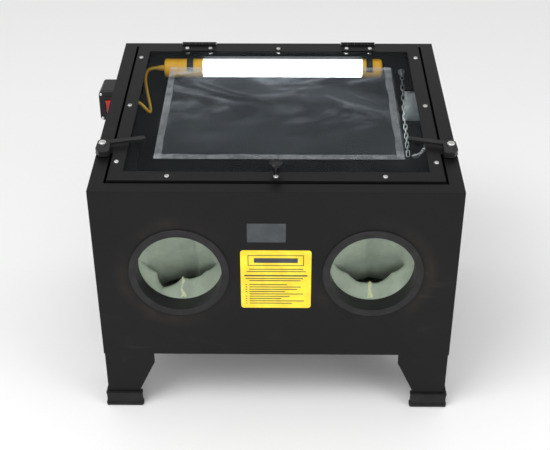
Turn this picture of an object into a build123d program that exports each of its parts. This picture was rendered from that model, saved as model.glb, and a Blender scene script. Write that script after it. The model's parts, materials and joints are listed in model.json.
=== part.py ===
from build123d import *
import os
from math import atan2, cos, degrees, hypot, pi, radians, sin, tan

# ---------------------------------------------------------------- driving dimensions (mm)
WIDTH = 590.0            # across the side panels
DEPTH = 485.0            # front panel to rear panel
LEG_H = 112.0            # floor to the bottom edge of the panels
FRONT_TOP = 428.0        # floor to the top edge of the front panel
REAR_TOP = 490.0         # floor to the top edge of the rear panel
SHEET = 1.2              # steel sheet
RIM_SIDE = 23.0          # width of the side rims
RIM_FRONT = 22.0         # width of the front rim
RIM_REAR = 13.4          # width of the rear rim
CHANNEL = 12.0           # depth of the channel that the seal lies in
LEDGE = 16.0             # width of the channel's floor

ARM_X = 158.0            # arm holes, left and right of the middle
ARM_Z = 277.0
ARM_HOLE_R = 76.0
RING_OUT_R = 82.5
RING_BORE_R = 70.0
COLLAR_R = 74.5
COLLAR_END_Y = -214.0

LID_HALF = 267.0         # lid frame, along X
LID_FRONT = 27.0         # along the sloping top, from its front edge
LID_REAR = 473.0
LID_LOW = 1.0            # underside of the frame over the rim plane
LID_TOP = LID_LOW + SHEET
LID_SKIRT = -7.5
WINDOW_HALF = 244.5
WINDOW_FRONT = 52.0
WINDOW_REAR = 452.0
PANE_HALF = 262.0
PANE_FRONT = 32.0
PANE_REAR = 468.0
PANE_T = 4.0

HINGE_X = 152.0
HINGE_W = 64.0
HINGE_S = 476.0          # hinge pin, along the slope
HINGE_H = 5.0            # hinge pin, over the rim plane
PIN_R = 2.0
KNUCKLE_R = 4.0
LID_OPEN = 70.0          # degrees that the chain lets the lid open

LATCH_X = 285.0
LATCH_S = 117.0

EYE = (240.0, 231.0, 433.0)      # chain eye on the rear wall, centre of its ring
HOOK_X = 251.0                   # chain hook under the lid frame
HOOK_S = 150.0
HOOK_H = -10.6
LINK_WIRE = 1.0                  # radius of the chain's wire
LINK_W = 8.0
LINKS = 17                       # links in each half of the chain

LAMP_Y = 213.0
LAMP_Z = 451.0
LAMP_R = 18.0
TUBE_R = 16.5
LEAD_R = 3.0

SWITCH_X = -318.0
SWITCH_W = 46.0
SWITCH_Y = 155.0
SWITCH_Z = 396.0
SWITCH_H = 58.0
SWITCH_D = 66.0
ROCKER_TILT = 8.0

GRATE_Z = 146.0
GRATE_T = 4.0
BOOT_H = 28.0

HALF_W = WIDTH / 2
HALF_D = DEPTH / 2
IN_X = HALF_W - SHEET
IN_Y = HALF_D - SHEET
SLOPE = atan2(REAR_TOP - FRONT_TOP, DEPTH)
SLOPE_LEN = hypot(DEPTH, REAR_TOP - FRONT_TOP)
TOP = Plane(origin=(0, -HALF_D, FRONT_TOP), x_dir=(1, 0, 0), z_dir=(0, -sin(SLOPE), cos(SLOPE)))


# ---------------------------------------------------------------- helpers
def block(x, y, z):
    """A box between the low and high values of each axis."""
    centre = Pos((x[0] + x[1]) / 2, (y[0] + y[1]) / 2, (z[0] + z[1]) / 2)
    return centre * Box(x[1] - x[0], y[1] - y[0], z[1] - z[0])


def on_top(shape):
    """Moves a shape drawn as (X, distance up the slope, height over the rim) into place."""
    return TOP.location * shape


def top_point(x, s, h):
    """The point at X, s along the slope and h over the rim plane."""
    return (x, -HALF_D + s * cos(SLOPE) - h * sin(SLOPE), FRONT_TOP + s * sin(SLOPE) + h * cos(SLOPE))


def rod_x(x, y, z, r):
    """A cylinder along X from x[0] to x[1]."""
    return Pos((x[0] + x[1]) / 2, y, z) * Rot(0, 90, 0) * Cylinder(r, x[1] - x[0])


def rod_y(x, y, z, r):
    """A cylinder along Y from y[0] to y[1]."""
    return Pos(x, (y[0] + y[1]) / 2, z) * Rot(90, 0, 0) * Cylinder(r, y[1] - y[0])


def rod_z(x, y, z, r):
    """A cylinder along Z from z[0] to z[1]."""
    return Pos(x, y, (z[0] + z[1]) / 2) * Cylinder(r, z[1] - z[0])


def pan_screw(head_r, head_h, shank_r, length):
    """A domed screw along Z, head up, underside of the head at 0."""
    head = Cylinder(head_r, head_h, align=(Align.CENTER, Align.CENTER, Align.MIN))
    head = fillet(head.edges().group_by(Axis.Z)[-1], head_h * 0.6)
    recess = Pos(0, 0, head_h) * (Box(head_r, 0.9, 1.4) + Box(0.9, head_r, 1.4))
    shank = Cylinder(shank_r, length, align=(Align.CENTER, Align.CENTER, Align.MAX))
    return head - recess + shank


def hex_nut(size, thickness, bore_r):
    """A hexagon nut along Z with its lower face at 0."""
    body = extrude(RegularPolygon(size / 2, 6, major_radius=False), thickness)
    return body - Cylinder(bore_r, 4 * thickness)


def group(shapes):
    """Separate solids of one kind, kept in one node."""
    return Compound(children=list(shapes))


def below_rim(shape):
    """Cuts a shape off at the underside of the sloping rim."""
    return shape & on_top(block((-400, 400), (-100, 600), (-600, -SHEET)))


def mirrored(shape):
    """The same piece on the other side of the cabinet."""
    return mirror(shape, Plane.YZ)


# ---------------------------------------------------------------- cabinet shell
FLOOR_LIP = 15.0         # inward flange at the bottom of the panels
LEG_TOP_W = 84.8         # width of a leg's flanges at the top


def front_panel():
    plate = below_rim(block((-HALF_W, HALF_W), (-HALF_D, -IN_Y), (LEG_H, REAR_TOP)))
    rim = on_top(block((-HALF_W, HALF_W), (0, RIM_FRONT), (-SHEET, 0)))
    lip_x = HALF_W - RIM_SIDE + SHEET
    lip = on_top(block((-lip_x, lip_x), (RIM_FRONT - SHEET, RIM_FRONT), (-CHANNEL, -SHEET)))
    floor_s = (RIM_FRONT - SHEET, RIM_FRONT + LEDGE)
    ledge = on_top(block((-lip_x, lip_x), floor_s, (-CHANNEL - SHEET, -CHANNEL)))
    foot_x = IN_X - LEG_TOP_W - 3
    foot = block((-foot_x, foot_x), (-IN_Y - 0.1, -IN_Y + FLOOR_LIP), (LEG_H, LEG_H + SHEET))
    panel = plate + rim + lip + ledge + foot
    for x in (-ARM_X, ARM_X):
        panel -= rod_y(x, (-HALF_D - 5, -IN_Y + 5), ARM_Z, ARM_HOLE_R)
    return panel


def side_panel():
    """The right side panel; the left one is its mirror image."""
    wall = below_rim(block((IN_X, HALF_W), (-IN_Y, IN_Y), (LEG_H, REAR_TOP)))
    s0, s1 = RIM_FRONT, SLOPE_LEN - RIM_REAR
    inner = HALF_W - RIM_SIDE
    rim = on_top(block((inner, HALF_W), (s0, s1), (-SHEET, 0)))
    lip = on_top(block((inner, inner + SHEET), (s0, s1), (-CHANNEL, -SHEET)))
    floor_x = (inner + SHEET - LEDGE, inner + SHEET)
    ledge = on_top(block(floor_x, (s0 + LEDGE, s1 - LEDGE), (-CHANNEL - SHEET, -CHANNEL)))
    foot_y = IN_Y - LEG_TOP_W - 3
    foot = block((IN_X - FLOOR_LIP, IN_X + 0.1), (-foot_y, foot_y), (LEG_H, LEG_H + SHEET))
    slot = on_top(block((LATCH_X - 5, LATCH_X + 5), (LATCH_S - 15, LATCH_S + 7), (-5, 5)))
    panel = wall + rim + lip + ledge + foot - slot
    for y in (-1, 1):
        for step in LEG_BOLT_STEPS:
            panel -= rod_x((IN_X - 5, HALF_W + 5), y * (IN_Y - step), LEG_BOLT_Z, 3.2)
    return panel


def left_side_panel():
    hole = rod_x((-HALF_W - 5, -IN_X + 5), GROMMET[1], GROMMET[2], 6.0)
    return mirrored(side_panel()) - hole


VENT_X = 268.0
VENT_Z = (338.0, 350.0, 362.0, 374.0, 386.0)
INLET = (215.0, 190.0)       # X and Z of the air inlet in the rear panel


def rear_panel():
    plate = below_rim(block((-HALF_W, HALF_W), (IN_Y, HALF_D), (LEG_H, REAR_TOP)))
    s0, s1 = SLOPE_LEN - RIM_REAR, SLOPE_LEN
    rim = on_top(block((-HALF_W, HALF_W), (s0, s1), (-SHEET, 0)))
    lip_x = HALF_W - RIM_SIDE + SHEET
    lip = on_top(block((-lip_x, lip_x), (s0, s0 + SHEET), (-CHANNEL, -SHEET)))
    ledge = on_top(block((-lip_x, lip_x), (s0 + SHEET - LEDGE - SHEET, s0 + SHEET), (-CHANNEL - SHEET, -CHANNEL)))
    foot_x = IN_X - LEG_TOP_W - 3
    foot = block((-foot_x, foot_x), (IN_Y - FLOOR_LIP, IN_Y + 0.1), (LEG_H, LEG_H + SHEET))
    panel = plate + rim + lip + ledge + foot
    for z in VENT_Z:
        panel -= Pos(VENT_X, HALF_D, z) * Rot(90, 0, 0) * extrude(SlotOverall(30, 4), 8, both=True)
    panel -= rod_y(INLET[0], (IN_Y - 5, HALF_D + 5), INLET[1], 8.2)
    panel -= rod_y(EYE[0], (IN_Y - 5, HALF_D + 5), EYE[2], 2.6)
    for x in (-HINGE_X, HINGE_X):
        for dx in HINGE_SCREWS:
            panel -= rod_y(x + dx, (IN_Y - 5, HALF_D + 5), REAR_TOP - HINGE_DROP, 2.25)
    return panel & block((-400, 400), (-400, HALF_D), (0, 600))


HOPPER_X = 277.0
HOPPER_Y = 225.0
OUTLET = 36.0
HOPPER_LOW = 42.0


def hopper_floor():
    def funnel(grow):
        top = Pos(0, 0, LEG_H + SHEET) * Rectangle(2 * (HOPPER_X + grow), 2 * (HOPPER_Y + grow))
        low = Pos(0, 0, HOPPER_LOW) * Rectangle(2 * (OUTLET + grow), 2 * (OUTLET + grow))
        return loft([low, top], ruled=True)

    shell = funnel(0) - funnel(-5)
    base = block((-OUTLET, OUTLET), (-OUTLET, OUTLET), (HOPPER_LOW, HOPPER_LOW + 2)) - rod_z(0, 0, (0, 90), 22)
    edge = block((-HOPPER_X - 8, HOPPER_X + 8), (-HOPPER_Y - 8, HOPPER_Y + 8), (LEG_H + SHEET, LEG_H + 2 * SHEET))
    edge -= block((-HOPPER_X + 5, HOPPER_X - 5), (-HOPPER_Y + 5, HOPPER_Y - 5), (100, 130))
    for x in (-1, 1):
        for y in (-1, 1):
            edge -= Pos(x * (HOPPER_X + 8), y * (HOPPER_Y + 8), LEG_H) * Box(40, 40, 20)
    neck = rod_z(0, 0, (HOPPER_LOW - 8, HOPPER_LOW + 2), 24) - rod_z(0, 0, (0, 90), 22)
    return shell + base + edge + neck


def drain_cap():
    cap = rod_z(0, 0, (HOPPER_LOW - 14, HOPPER_LOW - 0.5), 27)
    cap -= rod_z(0, 0, (HOPPER_LOW - 10, HOPPER_LOW + 5), 24)
    for k in range(18):
        cap -= Rot(0, 0, 20 * k) * Pos(28, 0, HOPPER_LOW - 7) * Cylinder(1.8, 20)
    return cap


def grate_ledge():
    """The right ledge, an angle strip on the side wall."""
    shelf = block((IN_X - 22, IN_X), (-150, 150), (GRATE_Z - 1.5, GRATE_Z))
    web = block((IN_X - 1.5, IN_X), (-150, 150), (GRATE_Z - 18, GRATE_Z - 1.4))
    return shelf + web


def work_grate():
    plate = block((-IN_X + 3, IN_X - 3), (-IN_Y + 8, IN_Y - 8), (GRATE_Z, GRATE_Z + GRATE_T))
    slots = [loc * Box(34, 16, 20) for loc in GridLocations(42, 23, 13, 19)]
    return plate - Pos(0, 0, GRATE_Z) * Compound(children=slots)


LEG_FOOT_W = 53.8
LEG_KINK_Z = 93.0
LEG_HEAD_Z = 152.0
LEG_BOLT_STEPS = (28.0, 62.0)
LEG_BOLT_Z = 132.0
LEG_BOLT_HOLE = 3.2
LEG_BASE = 6.0


def leg():
    """The front right leg: two tapered flanges at a right angle."""
    outline = [(0, LEG_BASE), (0, LEG_HEAD_Z), (-LEG_TOP_W, LEG_HEAD_Z), (-LEG_TOP_W, LEG_KINK_Z),
               (-LEG_FOOT_W, BOOT_H), (-LEG_FOOT_W, LEG_BASE)]
    flange = Polyline(*outline, close=True)
    face = make_face(flange)
    front = Pos(IN_X, -IN_Y, 0) * extrude(Plane.XZ.location * face, -SHEET)
    side = Pos(IN_X, -IN_Y, 0) * Rot(0, 0, -90) * extrude(Plane.XZ.location * face, SHEET)
    piece = front + side
    for step in LEG_BOLT_STEPS:
        piece -= rod_x((IN_X - 6, IN_X + 6), -IN_Y + step, LEG_BOLT_Z, LEG_BOLT_HOLE)
    return piece


def foot_boot():
    """The front right rubber boot: an angle-shaped cap with rolled lips."""
    def angle(grow, z0, z1):
        out_x, out_y = IN_X + 3.6 + grow, -IN_Y - 3.6 - grow
        arm, thick = 62 + 2 * grow, 11 + 2 * grow
        along_x = block((out_x - arm, out_x), (out_y, out_y + thick), (z0, z1))
        along_y = block((out_x - thick, out_x), (out_y, out_y + arm), (z0, z1))
        solid = along_x + along_y
        corners = solid.edges().filter_by(Axis.Z)
        return fillet(corners, min(2.4 + grow, 3.6))

    boot = angle(0, 0, BOOT_H) + angle(1.4, 1.0, 6.0) + angle(0.8, BOOT_H - 4, BOOT_H - 1)
    x1, y1 = IN_X, -IN_Y
    slot = block((x1 - LEG_FOOT_W, x1), (y1, y1 + SHEET), (LEG_BASE, 40))
    slot += block((x1 - SHEET, x1), (y1, y1 + LEG_FOOT_W), (LEG_BASE, 40))
    return boot - slot


def corners(shape):
    """Front right, front left, rear left and rear right copies of a front right piece."""
    left = mirrored(shape)
    return [shape, left, mirror(left, Plane.XZ), mirror(shape, Plane.XZ)]


def leg_bolts():
    """Two bolts and nuts for each leg, through the side panels."""
    bolts = []
    for x in (-1, 1):
        for y in (-1, 1):
            for step in LEG_BOLT_STEPS:
                place = Pos(x * HALF_W, y * (IN_Y - step), LEG_BOLT_Z) * Rot(0, 90 * x, 0)
                bolts.append(place * pan_screw(6.0, 3.6, 3.0, 12.0))
                bolts.append(place * Pos(0, 0, -2 * SHEET - 5) * hex_nut(10.0, 5.0, 3.05))
    return group(bolts)


def rim_seal():
    s0, s1 = RIM_FRONT + 1, SLOPE_LEN - RIM_REAR - 1
    outer = block((-270, 270), (s0, s1), (-CHANNEL, LID_SKIRT))
    inner = block((-260, 260), (s0 + 10, s1 - 10), (-20, 0))
    return on_top(outer - inner)


def name_plate():
    plate = block((-46, 16), (-HALF_D - 0.6, -HALF_D), (336.8, 371.4))
    return fillet(plate.edges().filter_by(Axis.Y), 1.5)


def notice_plate():
    plate = block((-57.5, 57.5), (-HALF_D - 0.5, -HALF_D), (209.5, 321.5))
    return fillet(plate.edges().filter_by(Axis.Y), 5)


# ---------------------------------------------------------------- arm openings
def glove_ring(x):
    flange = rod_y(x, (-HALF_D - 3.2, -HALF_D), ARM_Z, RING_OUT_R)
    flange = fillet(flange.edges().group_by(Axis.Y)[0], 2.4)
    collar = rod_y(x, (-HALF_D - 0.1, COLLAR_END_Y), ARM_Z, COLLAR_R)
    return flange + collar - rod_y(x, (-260, -200), ARM_Z, RING_BORE_R)


CUFF_IN = COLLAR_R + 0.3
CUFF_T = 2.0
CUFF_FRONT = -235.0
CUFF_BACK = -211.0
BEND_Y = -158.0
SLEEVE_DROP = 22.0       # degrees that the sleeve hangs below level
SLEEVE_R = 60.0
HAND_R = 42.0
SLEEVE_LEN = 190.0


def glove_clamp(x):
    """A worm-drive clamp that holds the sleeve's cuff on the ring's collar."""
    band = rod_y(x, (-231, -221), ARM_Z, CUFF_IN + CUFF_T + 1.3)
    band -= rod_y(x, (-240, -210), ARM_Z, CUFF_IN + CUFF_T + 0.2)
    lug = Pos(x, -226, ARM_Z + CUFF_IN + CUFF_T + 4) * Box(16, 9, 6.4)
    screw = rod_x((x - 15, x + 13), -226, ARM_Z + CUFF_IN + CUFF_T + 5, 2.4)
    head = rod_x((x - 18, x - 14), -226, ARM_Z + CUFF_IN + CUFF_T + 5, 4.2)
    return band + lug + screw + head


def sleeve_form(grow):
    """The sleeve's outer form, or its hollow when grow is negative."""
    cuff_r = CUFF_IN + CUFF_T + grow
    cuff = rod_y(0, (CUFF_FRONT, CUFF_BACK), 0, cuff_r)
    neck = Pos(0, (CUFF_BACK + BEND_Y) / 2, 0) * Rot(-90, 0, 0) * Cone(cuff_r, SLEEVE_R + grow, BEND_Y - CUFF_BACK)
    bend = Pos(0, BEND_Y, 0) * Sphere(SLEEVE_R + grow)
    tail = Cone(SLEEVE_R + grow, HAND_R + grow, SLEEVE_LEN, align=(Align.CENTER, Align.CENTER, Align.MIN))
    tip = Pos(0, 0, SLEEVE_LEN) * Sphere(HAND_R + grow)
    hang = Pos(0, BEND_Y, 0) * Rot(-90 - SLEEVE_DROP, 0, 0) * (tail + tip)
    return cuff + neck + bend + hang


def glove(x):
    mouth = rod_y(0, (CUFF_FRONT - 5, CUFF_BACK), 0, CUFF_IN)
    shell = sleeve_form(0) - sleeve_form(-CUFF_T) - mouth
    return Pos(x, 0, ARM_Z) * shell


# ---------------------------------------------------------------- lid
def screw_places():
    """Window screws as (X, s) on the lid frame."""
    sides = [(x, s) for x in (-258.0, 258.0) for s in (78.0, 253.0, 426.0)]
    front = [(x, 38.0) for x in (-173.0, 0.0, 173.0)]
    return sides + front + [(0.0, 462.0)]


KNOB_S = 47.6
HINGE_SCREWS = (-22.0, 22.0)
HINGE_DROP = 17.0        # hinge screws below the rear panel's top edge
LEAF_S = 452.5


def lid_frame():
    top = block((-LID_HALF, LID_HALF), (LID_FRONT, LID_REAR), (LID_LOW, LID_TOP))
    skirt = block((-LID_HALF, LID_HALF), (LID_FRONT, LID_REAR), (LID_SKIRT, LID_TOP))
    skirt -= block((-LID_HALF + SHEET, LID_HALF - SHEET), (LID_FRONT + SHEET, LID_REAR - SHEET), (-20, LID_LOW))
    ears = [block((x - 14.5, x + 14.5), (LATCH_S - 13, LATCH_S + 13), (LID_LOW, LID_TOP))
            for x in (LATCH_X - 3.5, -LATCH_X + 3.5)]
    frame = fillet((top + skirt).edges().filter_by(Axis.Z), 0.8)
    for ear in ears:
        frame += ear
    frame -= block((-WINDOW_HALF, WINDOW_HALF), (WINDOW_FRONT, WINDOW_REAR), (-2, 8))
    for x, s in screw_places():
        frame -= rod_z(x, s, (-2, 8), 2.2)
    for x in (-LATCH_X, LATCH_X):
        frame -= rod_z(x, LATCH_S, (-2, 8), 3.25)
    for x in (-HINGE_X, HINGE_X):
        for dx in HINGE_SCREWS:
            frame -= rod_z(x + dx, 461.0, (-2, 8), 2.2)
    frame -= rod_z(0, KNOB_S, (-2, 8), 2.2)
    return on_top(frame)


def window_gasket():
    outer = block((-PANE_HALF, PANE_HALF), (PANE_FRONT, PANE_REAR), (0, LID_LOW))
    gasket = outer - block((-WINDOW_HALF - 1, WINDOW_HALF + 1), (WINDOW_FRONT + 1, WINDOW_REAR - 1), (-2, 3))
    return on_top(gasket - through_holes())


def through_holes():
    """Clearance holes through the gasket and the pane."""
    holes = [rod_z(x, s, (-8, 4), 2.3) for x, s in screw_places() + [(0, KNOB_S)]]
    for x in (-HINGE_X, HINGE_X):
        holes += [rod_z(x + dx, 461.0, (-8, 4), 2.3) for dx in HINGE_SCREWS]
    holes.append(rod_z(HOOK_X, HOOK_S, (-8, 4), 2.3))
    return Compound(children=holes)


def window_pane():
    pane = block((-PANE_HALF, PANE_HALF), (PANE_FRONT, PANE_REAR), (-PANE_T, 0))
    return on_top(pane - through_holes())


def window_screws():
    """The screws that clamp the pane, and the one that holds the knob from below."""
    screws = [on_top(Pos(x, s, LID_TOP) * pan_screw(4.0, 2.4, 2.0, 9.0)) for x, s in screw_places()]
    return group(screws + [knob_screw()])


def window_nuts():
    nut = hex_nut(7.0, 2.2, 2.05)
    places = screw_places() + [(0, KNOB_S)]
    places += [(x + dx, 461.0) for x in (-HINGE_X, HINGE_X) for dx in HINGE_SCREWS]
    return group(on_top(Pos(x, s, -PANE_T - 2.2) * nut) for x, s in places)


FILM_X = (-200.0, 208.0)
FILM_S = (90.0, 393.0)
TAPE = 13.0
FILM_T = 0.3


def protective_film():
    return on_top(block((FILM_X[0], FILM_X[1] + 3), FILM_S, (0, FILM_T)))


def film_tape():
    outer = block(FILM_X, FILM_S, (FILM_T, 2 * FILM_T))
    inner = block((FILM_X[0] + TAPE, FILM_X[1] - TAPE), (FILM_S[0] + TAPE, FILM_S[1] - TAPE), (-2, 4))
    return on_top(outer - inner)


def lid_knob():
    profile = [(0, 0), (4.4, 0), (4.4, 1.5), (4.0, 6), (5.0, 11), (9.6, 14), (11.0, 17), (10.6, 20.5),
               (9.2, 22), (7.6, 22), (6.6, 20.4), (0, 20.0)]
    body = revolve(make_face(Plane.XZ.location * Polyline(*profile, close=True)), Axis.Z)
    body -= rod_z(0, 0, (-1, 9), 1.95)
    return on_top(Pos(0, KNOB_S, LID_TOP) * body)


def knob_screw():
    head = rod_z(0, KNOB_S, (-PANE_T - 4.4, -PANE_T - 2.2), 3.6)
    shank = rod_z(0, KNOB_S, (-PANE_T - 2.3, 9), 1.9)
    return on_top(head + shank)


# ---------------------------------------------------------------- hinges
KNUCKLES = 5
KNUCKLE_GAP = 0.3


def knuckles(x, which):
    """Every other knuckle round the hinge pin."""
    step = HINGE_W / KNUCKLES
    rings = []
    for k in range(KNUCKLES):
        if k % 2 == which:
            x0 = x - HINGE_W / 2 + k * step + KNUCKLE_GAP / 2
            rings.append(rod_x((x0, x0 + step - KNUCKLE_GAP), HINGE_S, HINGE_H, KNUCKLE_R))
    return rings


def knuckle_room(x, which):
    """Space that the other leaf's knuckles turn in."""
    step = HINGE_W / KNUCKLES
    room = []
    for k in range(KNUCKLES):
        if k % 2 != which:
            x0 = x - HINGE_W / 2 + k * step - KNUCKLE_GAP / 2
            room.append(rod_x((x0, x0 + step + KNUCKLE_GAP), HINGE_S, HINGE_H, KNUCKLE_R + 0.5))
    return room


def hinge_leaf_lid(x):
    half = HINGE_W / 2
    leaf = block((x - half, x + half), (LEAF_S, HINGE_S), (LID_TOP, LID_TOP + 1.6))
    for ring in knuckles(x, 1):
        leaf += ring
    for room in knuckle_room(x, 1):
        leaf -= room
    leaf -= rod_x((x - 50, x + 50), HINGE_S, HINGE_H, PIN_R + 0.05)
    for dx in HINGE_SCREWS:
        leaf -= rod_z(x + dx, 461.0, (-2, 12), 2.2)
    return on_top(leaf)


def hinge_leaf_body(x):
    half = HINGE_W / 2
    leaf = block((x - half, x + half), (HINGE_S, SLOPE_LEN + 1.4), (0, 1.4))
    for ring in knuckles(x, 0):
        web_x = ring.bounding_box()
        leaf += ring + block((web_x.min.X, web_x.max.X), (HINGE_S, HINGE_S + 4), (0, HINGE_H))
    for room in knuckle_room(x, 0):
        leaf -= room
    leaf -= rod_x((x - 50, x + 50), HINGE_S, HINGE_H, PIN_R + 0.05)
    leaf = on_top(leaf)
    drop = block((x - half, x + half), (HALF_D, HALF_D + 1.4), (REAR_TOP - 30, REAR_TOP + 1))
    leaf += drop
    for dx in HINGE_SCREWS:
        leaf -= rod_y(x + dx, (HALF_D - 5, HALF_D + 8), REAR_TOP - HINGE_DROP, 2.2)
    return leaf


def hinge_pins():
    pins = []
    for x in (-HINGE_X, HINGE_X):
        pin = rod_x((x - HINGE_W / 2 - 0.6, x + HINGE_W / 2 + 0.6), HINGE_S, HINGE_H, PIN_R)
        pins.append(on_top(pin))
    return group(pins)


def hinge_screws_lid():
    screw = pan_screw(3.8, 2.0, 2.0, 10.4)
    return group(on_top(Pos(x + dx, 461.0, LID_TOP + 1.6) * screw)
                 for x in (-HINGE_X, HINGE_X) for dx in HINGE_SCREWS)


def hinge_screws_body():
    screw = Rot(-90, 0, 0) * pan_screw(3.8, 2.0, 2.15, 6.0)
    return group(Pos(x + dx, HALF_D + 1.4, REAR_TOP - HINGE_DROP) * screw
                 for x in (-HINGE_X, HINGE_X) for dx in HINGE_SCREWS)


# ---------------------------------------------------------------- latches
LEVER_LOW = LID_TOP + 0.3
LEVER_TOP = 13.0


def latch_lever():
    """The right lever: a thumb block in front of the pivot and an arm that points inward."""
    thumb = Polyline((-13, -22), (-13, 8), (-4, 12), (9, 10), (10, -14), (4, -24), (-8, -25), close=True)
    block_part = extrude(make_face(thumb), LEVER_TOP - LEVER_LOW)
    block_part = fillet(block_part.edges().filter_by(Axis.Z), 3)
    block_part = fillet(block_part.edges().group_by(Axis.Z)[-1], 1.4)
    arm = Polyline((-4, 2), (-12, 13), (-66, 25), (-69, 16), (-14, 3), close=True)
    arm = fillet(extrude(make_face(arm), 4.4).edges().filter_by(Axis.Z), 1.6)
    lever = block_part + Pos(0, 0, LEVER_TOP - LEVER_LOW - 5.4) * arm
    lever -= Cylinder(3.3, 60)
    return on_top(Pos(LATCH_X, LATCH_S, LEVER_LOW) * lever)


def latch_bolt():
    """The pivot bolt with the tongue and nut that turn with it."""
    bolt = pan_screw(6.2, 3.4, 3.0, LEVER_TOP + 10.5)
    return group([on_top(Pos(LATCH_X, LATCH_S, LEVER_TOP) * bolt), latch_tongue()])


def latch_tongue():
    """A tongue under the rim that turns with the bolt and catches the rim's underside."""
    tongue = block((-3.8, 3.8), (-11.5, 4), (-6.5, -3))
    tongue = fillet(tongue.edges().filter_by(Axis.Z), 1.5)
    nut = Pos(0, 0, -9.5) * extrude(RegularPolygon(3.7, 6, major_radius=False), 3.1)
    return on_top(Pos(LATCH_X, LATCH_S, 0) * (tongue + nut - Cylinder(3.02, 60)))


# ---------------------------------------------------------------- stay chain
def turn_about_hinge(point, angle):
    """Where a point of the lid goes when the lid has opened by angle (degrees)."""
    _, y0, z0 = top_point(0, HINGE_S, HINGE_H)
    a = -radians(angle)
    dy, dz = point[1] - y0, point[2] - z0
    return (point[0], y0 + dy * cos(a) - dz * sin(a), z0 + dy * sin(a) + dz * cos(a))


HOOK = top_point(HOOK_X, HOOK_S, HOOK_H)
HOOK_OPEN = turn_about_hinge(HOOK, LID_OPEN)
LINK_START = 2.2         # from the middle of an eye to the first link's span
LINK_END = 1.0           # from the middle of the chain to the nearest link's span
RUN = hypot(HOOK_OPEN[1] - EYE[1], HOOK_OPEN[2] - EYE[2]) / 2     # each half when the chain is taut
PITCH = (RUN - LINK_START - LINK_END) / LINKS
SAG = 7.0


def chain_middle():
    """The lowest point of the slack chain, in Y and Z."""
    mid_y, mid_z = (EYE[1] + HOOK[1]) / 2, (EYE[2] + HOOK[2]) / 2
    dy, dz = HOOK[1] - EYE[1], HOOK[2] - EYE[2]
    half = hypot(dy, dz) / 2
    drop = (RUN ** 2 - half ** 2) ** 0.5
    return mid_y + dz / (2 * half) * drop, mid_z - abs(dy) / (2 * half) * drop


def link(turned):
    """One chain link along X, centred on the origin, with its long opening a little over the pitch."""
    inner = PITCH + 0.5
    straight = inner + 2 * LINK_WIRE - LINK_W
    r = LINK_W / 2 - LINK_WIRE
    path = SlotCenterToCenter(straight + 2 * LINK_WIRE, 2 * r)
    wire = path.wires()[0]
    start = wire @ 0
    ring = sweep(Plane(origin=start, z_dir=wire % 0) * Circle(LINK_WIRE), path=wire)
    return Rot(90 * turned, 0, 0) * ring


def chain_run(start, end):
    """Links hung between two points, with a shallow sag between them."""
    x, y, z = start
    x1, y1, z1 = end
    length = hypot(y1 - y, z1 - z)
    slope = degrees(atan2(z1 - z, y1 - y))
    links = []
    for k in range(LINKS):
        t = (k + 0.5) / LINKS
        bow = -4 * SAG * t * (1 - t)
        lean = degrees(atan2(-4 * SAG * (1 - 2 * t), length))
        place = Pos(x + (x1 - x) * t, y + (y1 - y) * t, z + (z1 - z) * t + bow)
        links.append(place * Rot(slope + lean, 0, 0) * Rot(0, 0, 90) * link(k % 2))
    return group(links)


def chain_lower():
    mid_y, mid_z = chain_middle()
    dy, dz = (mid_y - EYE[1]) / RUN, (mid_z - EYE[2]) / RUN
    start = (EYE[0], EYE[1] + LINK_START * dy, EYE[2] + LINK_START * dz)
    return chain_run(start, (EYE[0] + 3, mid_y - LINK_END * dy, mid_z - LINK_END * dz))


def chain_upper():
    mid_y, mid_z = chain_middle()
    dy, dz = (HOOK[1] - mid_y) / RUN, (HOOK[2] - mid_z) / RUN
    start = (EYE[0] + 12, mid_y + LINK_END * dy, mid_z + LINK_END * dz)
    return chain_run(start, (HOOK_X, HOOK[1] - LINK_START * dy, HOOK[2] - LINK_START * dz))


def chain_eye():
    ring = Pos(*EYE) * Rot(0, 90, 0) * Torus(5.2, 1.6)
    stem = rod_y(EYE[0], (EYE[1] + 4.6, HALF_D + 4), EYE[2], 2.4)
    boss = rod_y(EYE[0], (IN_Y - 2.4, IN_Y), EYE[2], 6.5)
    nut = Pos(EYE[0], HALF_D, EYE[2]) * Rot(-90, 0, 0) * extrude(RegularPolygon(4.5, 6, major_radius=False), 3.4)
    return ring + stem + boss + nut


def chain_hook():
    ring = Pos(0, 0, HOOK_H) * Rot(0, 90, 0) * Torus(4.6, 1.3)
    stem = rod_z(0, 0, (HOOK_H + 4.2, LID_LOW), 2.0)
    return on_top(Pos(HOOK_X, HOOK_S, 0) * (ring + stem))


# ---------------------------------------------------------------- lamp
LAMP_LEFT = -219.0
LAMP_RIGHT = 199.0
TUBE_LEFT = -144.0
TUBE_RIGHT = 160.0
CLIP_LEFT = (-175.0, -163.0)
CLIP_RIGHT = (168.0, 180.0)
SOCKET = 6.0


def lamp_cap_left():
    cap = rod_x((LAMP_LEFT, TUBE_LEFT), LAMP_Y, LAMP_Z, LAMP_R)
    cap = fillet(cap.edges().group_by(Axis.X)[0], 5)
    for k in range(4):
        x = LAMP_LEFT + 12 + 7 * k
        cap -= rod_x((x, x + 2.4), LAMP_Y, LAMP_Z, 30) - rod_x((x - 1, x + 4), LAMP_Y, LAMP_Z, LAMP_R - 1)
    return cap - rod_x((TUBE_LEFT - SOCKET, TUBE_LEFT + 5), LAMP_Y, LAMP_Z, TUBE_R + 0.1)


def lamp_cap_right():
    cap = rod_x((TUBE_RIGHT, LAMP_RIGHT), LAMP_Y, LAMP_Z, LAMP_R)
    cap = fillet(cap.edges().group_by(Axis.X)[-1], 6)
    return cap - rod_x((TUBE_RIGHT - 5, TUBE_RIGHT + SOCKET), LAMP_Y, LAMP_Z, TUBE_R + 0.1)


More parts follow.
